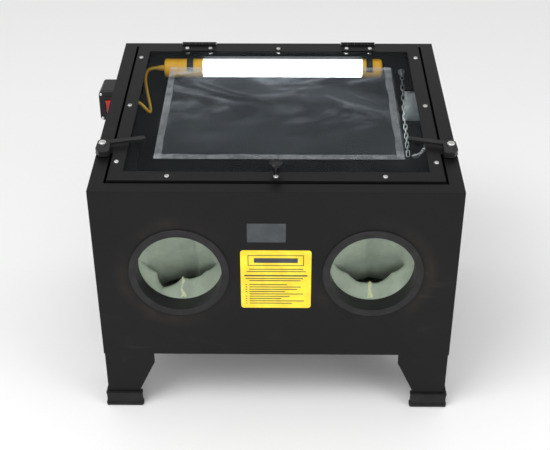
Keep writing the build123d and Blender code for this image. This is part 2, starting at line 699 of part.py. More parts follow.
def lamp_tube():
    span = (TUBE_LEFT - SOCKET, TUBE_RIGHT + SOCKET)
    return rod_x(span, LAMP_Y, LAMP_Z, TUBE_R) - rod_x((span[0] - 1, span[1] + 1), LAMP_Y, LAMP_Z, TUBE_R - 1.6)


def lamp_strip():
    x = (TUBE_LEFT - SOCKET + 1, TUBE_RIGHT + SOCKET - 1)
    board = block(x, (LAMP_Y - 8, LAMP_Y + 8), (LAMP_Z + 4, LAMP_Z + 5.6))
    for loc in GridLocations(14, 1, 20, 1):
        board += loc * Pos((x[0] + x[1]) / 2, LAMP_Y, LAMP_Z + 3.4) * Box(5, 5, 1.4)
    return board


def lamp_clips():
    clips = []
    for x in (CLIP_LEFT, CLIP_RIGHT):
        grip = rod_x(x, LAMP_Y, LAMP_Z, LAMP_R + 1.9) - rod_x((x[0] - 1, x[1] + 1), LAMP_Y, LAMP_Z, LAMP_R + 0.1)
        mouth = Pos((x[0] + x[1]) / 2, LAMP_Y - 18, LAMP_Z - 18) * Rot(45, 0, 0) * Box(40, 24, 40)
        base = block(x, (LAMP_Y + LAMP_R + 0.9, IN_Y), (LAMP_Z - 5, LAMP_Z + 5))
        clips.append(grip - mouth + base)
    return group(clips)


def lamp_strain_relief():
    sleeve = Cone(6.0, 4.2, 14, align=(Align.CENTER, Align.CENTER, Align.MIN))
    return Pos(LAMP_LEFT, LAMP_Y, LAMP_Z) * Rot(0, -90, 0) * sleeve


# The lead leaves the lamp's left end, hangs in a loop and goes out through the grommet.
LEAD_ROUTE = [(LAMP_LEFT - 14, LAMP_Y, LAMP_Z), (-249, LAMP_Y, LAMP_Z), (-258, 212, 437), (-258, 211, 412),
              (-254, 210, 385), (-250, 198, 371), (-249, 181, 371), (-254, 169, 383), (-267, 170, 398),
              (-283, 175, 402), (-300, 175, 402)]
GROMMET = (-HALF_W, 175.0, 402.0)


def lead_radii(route):
    """The largest arc that each corner's two runs leave room for."""
    radii = []
    for a, b, c in zip(route, route[1:], route[2:]):
        into, out = Vector(*b) - Vector(*a), Vector(*c) - Vector(*b)
        turn = radians(into.get_angle(out))
        radii.append(0.45 * min(into.length, out.length) / tan(turn / 2))
    return radii


def lamp_lead():
    radii = lead_radii(LEAD_ROUTE)
    path = FilletPolyline(*LEAD_ROUTE, radius=radii)
    start = Plane(origin=path @ 0, z_dir=path % 0)
    lead = sweep(start * Circle(LEAD_R), path=path)
    print("lamp lead radii", [round(r, 1) for r in radii], "length", round(path.length, 1))
    print("lamp lead volume", round(lead.volume), "section by length", round(pi * LEAD_R ** 2 * path.length))
    return lead


def grommet():
    x, y, z = GROMMET
    ring = rod_x((x - 2.0, x + SHEET + 2.0), y, z, 8.5) - rod_x((x, x + SHEET), y, z, 20)
    return ring + rod_x((x - 0.1, x + SHEET + 0.1), y, z, 5.9) - rod_x((x - 9, x + 9), y, z, LEAD_R + 0.3)


# ---------------------------------------------------------------- switch box
COVER_T = 8.0
BEZEL_W, BEZEL_H = 31.0, 36.0
ROCKER_W, ROCKER_H = 22.0, 28.0
WALL = 2.4


def switch_span(grow):
    x = (SWITCH_X - SWITCH_W / 2 - grow, SWITCH_X + SWITCH_W / 2 + (0 if grow >= 0 else grow))
    return x, (SWITCH_Z - SWITCH_H / 2 - grow, SWITCH_Z + SWITCH_H / 2 + grow)


def rounded(x, y, z, r):
    """A box with its four edges along Y rounded."""
    shape = block(x, y, z)
    return fillet(shape.edges().filter_by(Axis.Y), r)


def switch_box():
    x, z = switch_span(0)
    y = (SWITCH_Y + COVER_T, SWITCH_Y + SWITCH_D)
    box = rounded(x, y, z, 6)
    box = fillet(box.faces().sort_by(Axis.Y)[-1].edges(), 4)
    hollow = block((x[0] + WALL, x[1] - WALL), (y[0] - 1, y[1] - WALL), (z[0] + WALL, z[1] - WALL))
    box -= hollow
    bosses = [rod_y(x0, (y[0], y[1] - WALL - 10), z0, 3.0)
              for x0 in (x[0] + 4.6, x[1] - 4.6) for z0 in (z[0] + 4.6, z[1] - 4.6)]
    for boss in bosses:
        box += boss
    for x0 in (x[0] + 4.6, x[1] - 4.6):
        for z0 in (z[0] + 4.6, z[1] - 4.6):
            box -= rod_y(x0, (y[0] - 1, y[0] + 14), z0, 1.5)
    lead_hole = rod_x((-HALF_W - 8, -HALF_W + 1), GROMMET[1], GROMMET[2], 9.0)
    gland_hole = rod_z(SWITCH_X, SWITCH_Y + 40, (z[0] - 2, z[0] + 6), 6.1)
    return box - lead_hole - gland_hole


def switch_cover():
    x, z = switch_span(0)
    cover = rounded(x, (SWITCH_Y, SWITCH_Y + COVER_T), z, 6)
    cover = fillet(cover.faces().sort_by(Axis.Y)[0].edges(), 1.6)
    cover -= block((x[0] + WALL, x[1] - WALL), (SWITCH_Y + 3, SWITCH_Y + COVER_T + 1), (z[0] + 9, z[1] - 9))
    groove = rounded((x[0] - 3, x[1] + 3), (SWITCH_Y + 5.6, SWITCH_Y + 7), (z[0] - 3, z[1] + 3), 3)
    groove -= rounded((x[0] + 0.9, x[1] - 0.9), (SWITCH_Y + 5, SWITCH_Y + 8), (z[0] + 0.9, z[1] - 0.9), 5)
    cover -= groove
    cover -= block((SWITCH_X - 13.5, SWITCH_X + 13.5), (SWITCH_Y - 2, SWITCH_Y + 12), (SWITCH_Z - 16, SWITCH_Z + 16))
    for x0 in (x[0] + 4.6, x[1] - 4.6):
        for z0 in (z[0] + 4.6, z[1] - 4.6):
            cover -= rod_y(x0, (SWITCH_Y - 2, SWITCH_Y + 12), z0, 1.7)
    return cover


def switch_screws():
    x, z = switch_span(0)
    screw = Rot(90, 0, 0) * pan_screw(2.8, 1.6, 1.4, 15.0)
    return group(Pos(x0, SWITCH_Y, z0) * screw
                 for x0 in (x[0] + 4.6, x[1] - 4.6) for z0 in (z[0] + 4.6, z[1] - 4.6))


def switch_bezel():
    flange = block((SWITCH_X - 15.5, SWITCH_X + 15.5), (SWITCH_Y - 2.4, SWITCH_Y), (SWITCH_Z - 19, SWITCH_Z + 19))
    flange = fillet(flange.edges().filter_by(Axis.Y), 3)
    flange = fillet(flange.faces().sort_by(Axis.Y)[0].edges(), 1.0)
    body = block((SWITCH_X - 13.3, SWITCH_X + 13.3), (SWITCH_Y - 0.1, SWITCH_Y + 22),
                 (SWITCH_Z - 15.8, SWITCH_Z + 15.8))
    well = block((SWITCH_X - ROCKER_W / 2 - 0.4, SWITCH_X + ROCKER_W / 2 + 0.4),
                 (SWITCH_Y - 5, SWITCH_Y + 14), (SWITCH_Z - ROCKER_H / 2 - 0.4, SWITCH_Z + ROCKER_H / 2 + 0.4))
    pins = [rod_x((x0 - 1.2, x0 + 1.2), SWITCH_Y + 4, SWITCH_Z, 1.4)
            for x0 in (SWITCH_X - ROCKER_W / 2, SWITCH_X + ROCKER_W / 2)]
    tab = Pos(0, SWITCH_Y + 25.4, SWITCH_Z) * Box(4.8, 7.2, 0.8)
    tabs = [Pos(SWITCH_X + dx, 0, dz) * tab for dx in (-7, 7) for dz in (-9, 9)]
    bezel = flange + body - well
    for extra in pins + tabs:
        bezel += extra
    return bezel


def switch_rocker():
    """A two-sided rocker, at rest with its upper half out."""
    half = ROCKER_H / 2 - 0.7
    side = Polyline((-half, 3.5), (-half, -3.0), (-half * 0.45, -1.6), (0, -1.1), (half * 0.45, -1.6), (half, -3.0),
                    (half, 3.5), (4, 7.5), (-4, 7.5), close=True)
    upright = Plane(origin=(0, 0, 0), x_dir=(0, 0, 1), z_dir=(1, 0, 0))
    rocker = extrude(upright.location * make_face(side), ROCKER_W / 2 - 0.3, both=True)
    if rocker.bounding_box().min.Y < -5:
        rocker = mirror(rocker, Plane.XZ)
    sockets = rod_x((-20, 20), 2.6, 0, 1.5)
    rocker = Pos(0, 1.4, 0) * rocker - Pos(0, 1.4, 0) * sockets
    return Pos(SWITCH_X, SWITCH_Y, SWITCH_Z) * Pos(0, 4, 0) * Rot(ROCKER_TILT, 0, 0) * Pos(0, -4, 0) * rocker


def mains_gland():
    z0 = SWITCH_Z - SWITCH_H / 2
    x, y = SWITCH_X, SWITCH_Y + 40
    nut = Pos(x, y, z0 - 5) * extrude(RegularPolygon(9, 6, major_radius=False), 5)
    neck = Pos(x, y, z0 - 16) * Cone(6.0, 8.4, 11, align=(Align.CENTER, Align.CENTER, Align.MIN))
    thread = rod_z(x, y, (z0 - 0.1, z0 + 10), 5.9)
    return nut + neck + thread - rod_z(x, y, (z0 - 30, z0 + 30), 3.6)


# ---------------------------------------------------------------- air and dust
def air_inlet():
    x, z = INLET
    body = rod_y(x, (HALF_D - 22, HALF_D + 14), z, 8.0)
    hexagon = Pos(x, HALF_D, z) * Rot(-90, 0, 0) * extrude(RegularPolygon(11, 6, major_radius=False), 9)
    barb = rod_y(x, (HALF_D - 44, HALF_D - 21.9), z, 4.2)
    for k in range(3):
        barb += Pos(x, HALF_D - 41 + 6 * k, z) * Rot(90, 0, 0) * Cone(5.2, 4.2, 4)
    bore = rod_y(x, (HALF_D - 3, HALF_D + 30), z, 5.72) + rod_y(x, (HALF_D - 60, HALF_D), z, 2.6)
    return body + hexagon + barb - bore


def inlet_nut():
    x, z = INLET
    nut = Pos(x, IN_Y - 5, z) * Rot(-90, 0, 0) * extrude(RegularPolygon(11, 6, major_radius=False), 5)
    return nut - rod_y(x, (IN_Y - 10, IN_Y + 3), z, 8.05)


FILTER_X = (248.0, 290.0)
FILTER_Z = (326.0, 397.0)


def exhaust_filter():
    return block((FILTER_X[0] + 1, FILTER_X[1] - 1), (IN_Y - 9, IN_Y), (FILTER_Z[0] + 1, FILTER_Z[1] - 1))


def filter_frame():
    z = (FILTER_Z[0] - 6, FILTER_Z[1] + 6)
    bars = []
    for z0 in (z[0], z[1] - 6.9):
        bars.append(block(FILTER_X, (IN_Y - 10.2, IN_Y), (z0, z0 + 6.9)))
    return group(bars)


# ---------------------------------------------------------------- blast gun, lying on the grate
GUN = (-165.0, 178.0, GRATE_Z + GRATE_T + 15.0)
GRIP_TURN = -20.0


def at_gun(shape):
    return Pos(*GUN) * shape


def gun_body():
    barrel = rod_x((-55, 45), 0, 0, 14.0)
    barrel = fillet(barrel.edges().group_by(Axis.X)[0], 4)
    grip = Rot(0, 0, GRIP_TURN) * block((-40, -14), (-95, -6), (-12, 12))
    grip = fillet(grip.edges().filter_by(Axis.Z, reverse=True).filter_by(GeomType.LINE), 5)
    bore = rod_x((30, 50), 0, 0, 8.0)
    slot = block((-12, 12), (-30, 0), (-4.2, 4.2))
    pin_hole = rod_z(4, -9.5, (-20, 20), 1.55)
    return at_gun(barrel + grip - bore - slot - pin_hole)


def gun_nozzle():
    nozzle = rod_x((31, 78), 0, 0, 7.9)
    nozzle = fillet(nozzle.edges().group_by(Axis.X)[-1], 2)
    return at_gun(nozzle - rod_x((20, 90), 0, 0, 3.0))


def nozzle_nut():
    nut = Pos(45, 0, 0) * Rot(0, 90, 0) * extrude(RegularPolygon(13, 8, major_radius=False), 14)
    return at_gun(nut - rod_x((40, 70), 0, 0, 8.0))


def gun_spigots():
    grit = rod_x((-85, -55), 0, 0, 6.5) - rod_x((-90, -50), 0, 0, 4.5)
    tail = Rot(0, 0, GRIP_TURN) * (rod_y(-27, (-115, -95), 0, 6.0) - rod_y(-27, (-120, -90), 0, 3.4))
    return group([at_gun(grit), at_gun(tail)])


def gun_trigger():
    profile = Polyline((-1, -4.5), (9, -5), (9, -13), (4, -20), (3, -34), (6, -44), (2, -47), (-4, -36),
                       (-4, -18), close=True)
    lever = extrude(make_face(profile), 3.8, both=True)
    lever -= rod_z(4, -9.5, (-20, 20), 1.55)
    return at_gun(lever)


def trigger_pin():
    return at_gun(rod_z(4, -9.5, (-13, 13), 1.5))


PICKUP_Y = 115.0         # middle of a row of slots


def pickup_tube():
    """Stands in a slot of the grate, with a collar on top and its foot in the hopper."""
    top = GRATE_Z + GRATE_T
    tube = rod_z(0, PICKUP_Y, (78.0, top + 42), 6.5) + rod_z(0, PICKUP_Y, (top, top + 3), 13.0)
    return tube - rod_z(0, PICKUP_Y, (60, top + 60), 4.8)


# ---------------------------------------------------------------- nodes
def nodes():
    """Every node's name and shape."""
    parts = {"front_panel": front_panel(), "right_side_panel": side_panel(),
             "left_side_panel": left_side_panel(), "rear_panel": rear_panel(),
             "hopper_floor": hopper_floor(), "drain_cap": drain_cap(),
             "grate_ledges": group([grate_ledge(), mirrored(grate_ledge())]),
             "work_grate": work_grate(), "pickup_tube": pickup_tube(),
             "legs": group(corners(leg())), "foot_boots": group(corners(foot_boot())),
             "leg_bolts": leg_bolts(), "rim_seal": rim_seal(),
             "name_plate": name_plate(), "notice_plate": notice_plate()}
    parts.update({"glove_rings": group([glove_ring(-ARM_X), glove_ring(ARM_X)]),
                  "glove_clamps": group([glove_clamp(-ARM_X), glove_clamp(ARM_X)]),
                  "glove_left": glove(-ARM_X), "glove_right": glove(ARM_X)})
    parts.update({"lid_frame": lid_frame(), "window_gasket": window_gasket(),
                  "window_pane": window_pane(), "window_screws": window_screws(),
                  "window_nuts": window_nuts(), "protective_film": protective_film(),
                  "film_tape": film_tape(), "lid_knob": lid_knob()})
    parts.update({"hinge_leaves_lid": group([hinge_leaf_lid(-HINGE_X), hinge_leaf_lid(HINGE_X)]),
                  "hinge_leaves_body": group([hinge_leaf_body(-HINGE_X), hinge_leaf_body(HINGE_X)]),
                  "hinge_pins": hinge_pins(), "hinge_screws_lid": hinge_screws_lid(),
                  "hinge_screws_body": hinge_screws_body()})
    parts.update({"latch_lever_right": latch_lever(), "latch_lever_left": mirrored(latch_lever()),
                  "latch_bolt_right": latch_bolt(), "latch_bolt_left": mirrored(latch_bolt())})
    parts.update({"chain_lower": chain_lower(), "chain_upper": chain_upper(),
                  "chain_eye": chain_eye(), "chain_hook": chain_hook()})
    parts.update({"lamp_tube": lamp_tube(), "lamp_strip": lamp_strip(),
                  "lamp_caps": group([lamp_cap_left(), lamp_cap_right()]), "lamp_clips": lamp_clips(),
                  "lamp_strain_relief": lamp_strain_relief(), "lamp_lead": lamp_lead()})
    parts.update({"cable_glands": group([grommet(), mains_gland()]), "switch_box": switch_box(),
                  "switch_cover": switch_cover(), "switch_screws": switch_screws(),
                  "switch_bezel": switch_bezel(), "switch_rocker": switch_rocker()})
    parts.update({"air_inlet": group([air_inlet(), inlet_nut()]), "exhaust_filter": exhaust_filter(),
                  "filter_frame": filter_frame()})
    parts.update({"gun_body": gun_body(), "gun_nozzle": gun_nozzle(), "nozzle_nut": nozzle_nut(),
                  "gun_fittings": group([gun_spigots(), trigger_pin()]), "gun_trigger": gun_trigger()})
    return parts


def report_motion():
    """Prints the joint places and the turns of the chain's halves, for the record."""
    mid = chain_middle()
    taut = degrees(atan2(HOOK_OPEN[2] - EYE[2], HOOK_OPEN[1] - EYE[1]))
    rest_low = degrees(atan2(mid[1] - EYE[2], mid[0] - EYE[1]))
    rest_up = degrees(atan2(mid[1] - HOOK[2], mid[0] - HOOK[1]))
    print("lid hinge", top_point(0, HINGE_S, HINGE_H), "latch", top_point(LATCH_X, LATCH_S, 0))
    print("chain middle", mid, "hook", HOOK, "half", round(RUN, 1), "pitch", round(PITCH, 2))
    print("lower turn", (rest_low - taut) % 360, "upper turn", (rest_up - taut - 180) % 360)


os.makedirs("parts", exist_ok=True)
for name, shape in nodes().items():
    export_step(shape, "parts/" + name + ".step")
report_motion()
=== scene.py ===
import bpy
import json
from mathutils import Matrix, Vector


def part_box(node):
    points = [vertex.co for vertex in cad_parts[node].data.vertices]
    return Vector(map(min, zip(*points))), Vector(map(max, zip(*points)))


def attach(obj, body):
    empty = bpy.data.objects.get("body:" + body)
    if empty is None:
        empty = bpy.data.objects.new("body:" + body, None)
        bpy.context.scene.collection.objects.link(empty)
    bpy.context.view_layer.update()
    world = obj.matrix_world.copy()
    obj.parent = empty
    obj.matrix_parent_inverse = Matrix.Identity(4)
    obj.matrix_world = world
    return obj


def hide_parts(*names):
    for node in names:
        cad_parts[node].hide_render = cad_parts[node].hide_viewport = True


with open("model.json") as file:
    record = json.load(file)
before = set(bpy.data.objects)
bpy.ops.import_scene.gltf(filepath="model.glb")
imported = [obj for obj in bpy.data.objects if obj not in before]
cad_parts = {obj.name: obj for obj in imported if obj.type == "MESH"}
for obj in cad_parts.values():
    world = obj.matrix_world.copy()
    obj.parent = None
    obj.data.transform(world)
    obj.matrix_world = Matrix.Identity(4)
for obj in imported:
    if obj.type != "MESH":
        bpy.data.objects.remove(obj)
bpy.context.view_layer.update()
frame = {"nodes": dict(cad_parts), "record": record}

import json
from math import atan2, cos, exp, pi, radians, sin

import bpy
from bpy.props import FloatProperty, FloatVectorProperty, IntProperty, PointerProperty
from mathutils import Matrix, Vector, noise

bl_info = {
    "name": "Sandblast cabinet looks",
    "version": (1, 0, 0),
    "blender": (4, 5, 0),
    "location": "View3D > Sidebar > Cabinet",
    "description": "Dresses the packed sandblast cabinet: finishes, cloth sleeves, film, lead "
                   "and studio",
    "category": "Object",
}

MM = 0.001
SLOPE = atan2(62.0, 485.0)
FRONT_EDGE = Vector((0, -0.2425, 0.428))
UP_SLOPE = Vector((0, cos(SLOPE), sin(SLOPE)))
OUT_OF_LID = Vector((0, -sin(SLOPE), cos(SLOPE)))
# Arm openings: each centre's distance from the middle, and its height.
ARM_X = 0.158
ARM_Z = 0.277
SCUFF_RADIUS = 0.094
LAMP_X = 0.008


# ---------------------------------------------------------------- shader building
class Value:
    """A shader socket that takes part in arithmetic."""

    def __init__(self, shader, socket):
        self.shader = shader
        self.socket = socket

    def _math(self, operation, *others, clamp=False):
        node = self.shader.node("ShaderNodeMath", operation=operation, use_clamp=clamp)
        for place, item in enumerate(others):
            self.shader.feed(node.inputs[place], item)
        return Value(self.shader, node.outputs[0])

    def __add__(self, other):
        return self._math("ADD", self, other)

    def __radd__(self, other):
        return self._math("ADD", other, self)

    def __sub__(self, other):
        return self._math("SUBTRACT", self, other)

    def __rsub__(self, other):
        return self._math("SUBTRACT", other, self)

    def __mul__(self, other):
        return self._math("MULTIPLY", self, other)

    def __rmul__(self, other):
        return self._math("MULTIPLY", other, self)

    def __pow__(self, other):
        return self._math("POWER", self, other)

    def __abs__(self):
        return self._math("ABSOLUTE", self)

    def clamped(self):
        return self._math("ADD", self, 0.0, clamp=True)

    def sine(self):
        return self._math("SINE", self)

    def band(self, low, high):
        """0 below low, 1 above high and smooth between them."""
        node = self.shader.node("ShaderNodeMapRange", interpolation_type="SMOOTHSTEP")
        self.shader.feed(node.inputs["Value"], self)
        node.inputs["From Min"].default_value = low
        node.inputs["From Max"].default_value = high
        return Value(self.shader, node.outputs[0])


class Shader:
    """A new material with a Principled surface, and short ways to add nodes to it."""

    def __init__(self, name):
        self.material = bpy.data.materials.new(name)
        self.material.use_nodes = True
        self.tree = self.material.node_tree
        self.surface = self.tree.nodes["Principled BSDF"]
        self.output = self.tree.nodes["Material Output"]
        self.place = Value(self, self.node("ShaderNodeTexCoord").outputs["Object"])

    def node(self, kind, inputs=None, **settings):
        """Adds one node of that type, with its settings and its inputs."""
        made = self.tree.nodes.new(kind)
        for key, item in settings.items():
            setattr(made, key, item)
        for key, item in (inputs or {}).items():
            self.feed(made.inputs[key], item)
        return made

    def feed(self, socket, item):
        if isinstance(item, Value):
            self.tree.links.new(item.socket, socket)
        elif isinstance(item, bpy.types.NodeSocket):
            self.tree.links.new(item, socket)
        elif hasattr(item, "__len__") and len(item) == 3 and socket.type == "RGBA":
            socket.default_value = (*item, 1.0)
        else:
            socket.default_value = item

    def value(self, node):
        """The first output of a node."""
        return Value(self, node.outputs[0])

    def axes(self):
        """X, Y and Z of the point, in metres in the row's frame."""
        split = self.node("ShaderNodeSeparateXYZ", {0: self.place})
        return [Value(self, out) for out in split.outputs]

    def scaled_place(self, x, y, z):
        """The point with each axis stretched by its own factor."""
        return self.value(self.node("ShaderNodeMapping", {0: self.place, "Scale": (x, y, z)}))

    def cloud(self, scale, detail=4.0, rough=0.55, warp=0.0, place=None):
        """Soft noise from 0 to 1."""
        inputs = {"Vector": place or self.place, "Scale": scale, "Detail": detail,
                  "Roughness": rough, "Distortion": warp}
        return self.value(self.node("ShaderNodeTexNoise", inputs))

    def blend(self, factor, low, high):
        """A colour between two colours."""
        mix = self.node("ShaderNodeMix", data_type="RGBA")
        self.feed(mix.inputs["Factor"], factor)
        self.feed(mix.inputs[6], low)
        self.feed(mix.inputs[7], high)
        return Value(self, mix.outputs[2])

    def bump(self, height, strength, distance):
        """A surface normal from a height."""
        inputs = {"Height": height, "Strength": strength, "Distance": distance}
        return self.value(self.node("ShaderNodeBump", inputs))

    def set(self, **sockets):
        """Feeds the Principled surface; Base_Color stands for Base Color."""
        for key, item in sockets.items():
            self.feed(self.surface.inputs[key.replace("_", " ")], item)
        return self

    def see_through(self, factor, tint=(1.0, 1.0, 1.0)):
        """Lets light straight through, except for the share that factor gives to the surface."""
        clear = self.node("ShaderNodeBsdfTransparent", {"Color": tint})
        inputs = {0: factor, 1: clear.outputs[0], 2: self.surface.outputs[0]}
        mix = self.node("ShaderNodeMixShader", inputs)
        self.feed(self.output.inputs["Surface"], mix.outputs[0])
        return self


# ---------------------------------------------------------------- finishes
def powder_coat(name, colour, dusty):
    """Satin powder coat with an orange-peel skin and, on the shell, smears of brown dust."""
    s = Shader(name)
    x, _, z = s.axes()
    peel = s.cloud(900.0, 2.0)
    worn = s.cloud(7.0, 6.0, 0.62)
    streaks = s.cloud(9.0, 5.0, 0.6, 1.2, s.scaled_place(1.0, 1.0, 3.2))
    smears = (streaks - 0.5).band(0.05, 0.3) * worn.band(0.42, 0.78) * 0.7
    around = abs(x) - ARM_X
    ring = (around * around + (z - ARM_Z) * (z - ARM_Z)) ** 0.5
    scuff = (1.0 - abs(ring - SCUFF_RADIUS) * 60.0).clamped() * worn.band(0.42, 0.8) * 0.4
    dust = ((smears + scuff) * dusty).clamped()
    base = s.blend(worn, [c * 0.3 for c in colour], [c * 0.6 for c in colour])
    s.set(Base_Color=s.blend(dust, base, (0.055, 0.040, 0.026)),
          Roughness=0.34 + 0.14 * worn + 0.25 * dust,
          Normal=s.bump(peel, 0.12, 0.0002))
    s.surface.inputs["Specular IOR Level"].default_value = 0.16
    return s.material


def moulded(name, colour, rough, grain=0.2):
    """Rubber or moulded plastic with a fine grain and handling marks."""
    s = Shader(name)
    marks = s.cloud(40.0, 5.0, 0.6)
    fine = s.cloud(1500.0, 2.0)
    pale = [min(1.0, c * 1.35 + 0.004) for c in colour]
    s.set(Base_Color=s.blend(marks.band(0.35, 0.75), colour, pale),
          Roughness=rough - 0.08 + 0.16 * marks,
          Normal=s.bump(fine, grain, 0.0002))
    s.surface.inputs["Specular IOR Level"].default_value = 0.2 if max(colour) < 0.1 else 0.5
    return s.material


def metal(name, colour, rough, stretch=(1.0, 1.0, 1.0)):
    """Plated or bare metal with brushed variation and dull patches."""
    s = Shader(name)
    patches = s.cloud(60.0, 4.0)
    lines = s.cloud(350.0, 3.0, 0.6, 0.0, s.scaled_place(*stretch))
    dull = [c * 0.62 for c in colour]
    s.set(Base_Color=s.blend(patches.band(0.3, 0.75), colour, dull), Metallic=1.0,
          Roughness=rough + 0.14 * lines + 0.1 * patches, Normal=s.bump(lines, 0.12, 0.0002))
    return s.material


def pane_glass(name, colour):
    """A clear pane with a faint film of grit and short vertical scratches."""
    s = Shader(name)
    haze = s.cloud(5.0, 5.0, 0.6, 0.6)
    scratch = s.cloud(60.0, 3.0, 0.7, 0.0, s.scaled_place(9.0, 0.7, 0.7)).band(0.63, 0.72)
    grit = haze.band(0.45, 0.8) * 0.035 + scratch * haze * 0.06
    s.set(Base_Color=[c * 0.35 for c in colour], Roughness=0.05 + 0.25 * haze.band(0.4, 0.8))
    s.surface.inputs["Specular IOR Level"].default_value = 0.9
    return s.see_through((0.02 + grit).clamped(), (0.90, 0.93, 0.94)).material


def film_skin(name, colour):
    """Hazy protective film: cloudy swirls, made brighter towards the lamp by a painted glow of the
    lamp's light.
    """
    s = Shader(name)
    _, y, _ = s.axes()
    swirl = s.cloud(6.0, 4.0, 0.5, 2.6, s.scaled_place(0.8, 1.5, 1.0))
    sweep = s.cloud(3.2, 3.0, 0.5, 1.4, s.scaled_place(0.6, 1.7, 1.0))
    # Painted glow: the film is made more opaque and whiter near the lamp, standing in for the
    # lamp's light falling on it.
    lamp_glow_mask = y.band(-0.16, 0.15)
    body = (0.035 + 0.10 * lamp_glow_mask * sweep.band(0.35, 0.75)
            + 0.34 * lamp_glow_mask * swirl.band(0.45, 0.8))
    s.set(Base_Color=colour, Roughness=0.22 + 0.3 * swirl, Normal=s.bump(sweep, 0.08, 0.002))
    return s.see_through(body.clamped(), (0.9, 0.93, 0.96)).material


def tape_skin(name, colour):
    """Frosted tape with pressed and lifted streaks."""
    s = Shader(name)
    streak = s.cloud(70.0, 5.0, 0.65, 0.5)
    broad = s.cloud(18.0, 3.0)
    s.set(Base_Color=s.blend(streak, [c * 0.7 for c in colour], colour),
          Roughness=0.45 + 0.3 * broad, Normal=s.bump(streak, 0.4, 0.0006))
    frost = 0.06 + 0.19 * streak.band(0.3, 0.75) + 0.08 * broad
    return s.see_through(frost.clamped()).material


def cloth(name, colour):
    """Napped grey-green cloth with a fine weave and paler rubbed areas."""
    s = Shader(name)
    rubbed = s.cloud(22.0, 6.0, 0.65, 0.4)
    nap = s.cloud(420.0, 4.0, 0.7)
    weave = s.cloud(1600.0, 1.0)
    tone = s.blend(rubbed.band(0.3, 0.75), [c * 1.9 for c in colour],
                   [min(1, c * 2.7) for c in colour])
    s.set(Base_Color=s.blend(nap * 0.3, tone, [c * 1.1 for c in colour]),
          Roughness=0.86 + 0.1 * nap,
          Normal=s.bump(nap * 0.7 + weave * 0.3, 0.55, 0.0009))
    s.surface.inputs["Sheen Weight"].default_value = 0.25
    return s.material


def tube_glow(name, colour):
    """The frosted lamp tube, lit along its whole length and a little cooler at its ends."""
    s = Shader(name)
    x, _, _ = s.axes()
    ends = (abs(x - LAMP_X) * 6.0).clamped()
    s.set(Base_Color=colour, Roughness=0.3 + 0.1 * s.cloud(90.0),
          Emission_Color=s.blend(ends.band(0.75, 1.0), (1.0, 1.0, 1.0), (0.72, 0.82, 0.95)))
    s.surface.inputs["Emission Strength"].default_value = 13.0
    return s.material


def felt(name, colour):
    """A pale filter pad of matted fibres with grey grit in it."""
    s = Shader(name)
    fibre = s.cloud(320.0, 5.0, 0.7, 1.5)
    soil = s.cloud(35.0, 4.0)
    s.set(Base_Color=s.blend(soil.band(0.3, 0.8) * 0.6, colour, (0.38, 0.38, 0.35)),
          Roughness=0.9 + 0.08 * fibre,
          Normal=s.bump(fibre, 0.8, 0.002))
    return s.material


finishes = {}


def base_colours():
    """The record's base colour for each material slot."""
    return {m["slot"]: tuple(m["base_color"][:3]) for m in frame["record"]["materials"]}


def warmer(colour):
    """A colour pushed towards amber."""
    return [min(1.0, colour[0] * 1.15), colour[1] * 0.72, colour[2] * 0.35]


def brighter(colour):
    """The colour of bright plating."""
    return [v * 1.35 for v in colour]


def make_finishes(dusty):
    """One finish for each of the record's material slots."""
    recipes = {
        "black_powder_coat": (powder_coat, dusty),
        "black_rubber": (moulded, 0.62, 0.35),
        "black_plastic": (moulded, 0.42),
        "black_knob": (moulded, 0.2, 0.05),
        "yellow_rubber": (moulded, 0.5),
        "yellow_cable": (moulded, 0.45),
        "yellow_plate": (moulded, 0.38, 0.05),
        "dark_plate": (moulded, 0.4, 0.08),
        "red_rocker": (moulded, 0.25, 0.05),
        "lamp_board": (moulded, 0.5),
        "nozzle_ceramic": (moulded, 0.6, 0.4),
        "zinc_steel": (metal, 0.3),
        "galvanised_grate": (metal, 0.42),
        "brass_fitting": (metal, 0.25),
        "gun_metal": (metal, 0.38, (1.0, 6.0, 6.0)),
        "clear_pane": (pane_glass,),
        "hazy_film": (film_skin,),
        "frosted_tape": (tape_skin,),
        "glove_cloth": (cloth,),
        "lamp_glass": (tube_glow,),
        "filter_felt": (felt,),
    }
    shifts = {"yellow_rubber": warmer, "yellow_cable": warmer, "zinc_steel": brighter}
    colours = base_colours()
    made = {}
    for slot_name, (recipe, *amounts) in recipes.items():
        colour = colours[slot_name]
        if slot_name in shifts:
            colour = shifts[slot_name](colour)
        made[slot_name] = recipe(slot_name, colour, *amounts)
    return made


def finish_of(slot_name):
    """The finish already made for a slot."""
    return finishes[slot_name]


# ---------------------------------------------------------------- meshes
def mesh_piece(name, points, faces, slot_name, body, smooth=True):
    """A new piece from points in metres that rides on a CAD body."""
    mesh = bpy.data.meshes.new(name)
    mesh.from_pydata([tuple(p) for p in points], [], faces)
    mesh.update()
    for polygon in mesh.polygons:
        polygon.use_smooth = smooth
    piece = bpy.data.objects.new(name, mesh)
    bpy.context.scene.collection.objects.link(piece)
    mesh.materials.append(finish_of(slot_name))
    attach(piece, body)
    return piece


def grid_faces(rows, columns, closed=False):
    """Quads between rows of points; closed joins each row's last point to its first."""
    across = columns if closed else columns - 1
    faces = []
    for i in range(rows - 1):
        for j in range(across):
            k = (j + 1) % columns
            here, above = i * columns, (i + 1) * columns
            faces.append((here + j, here + k, above + k, above + j))
    return faces


def apply_modifier(piece, kind, **settings):
    """Adds a modifier and applies it at once."""
    modifier = piece.modifiers.new(kind.title(), kind)
    for key, item in settings.items():
        setattr(modifier, key, item)
    with bpy.context.temp_override(object=piece, active_object=piece):
        bpy.ops.object.modifier_apply(modifier=modifier.name)


def on_lid(x, s, height):
    """The point at X, s up the slope and height over the lid's rim plane, given in millimetres."""
    return Vector((x * MM, 0, 0)) + FRONT_EDGE + UP_SLOPE * (s * MM) + OUT_OF_LID * (height * MM)


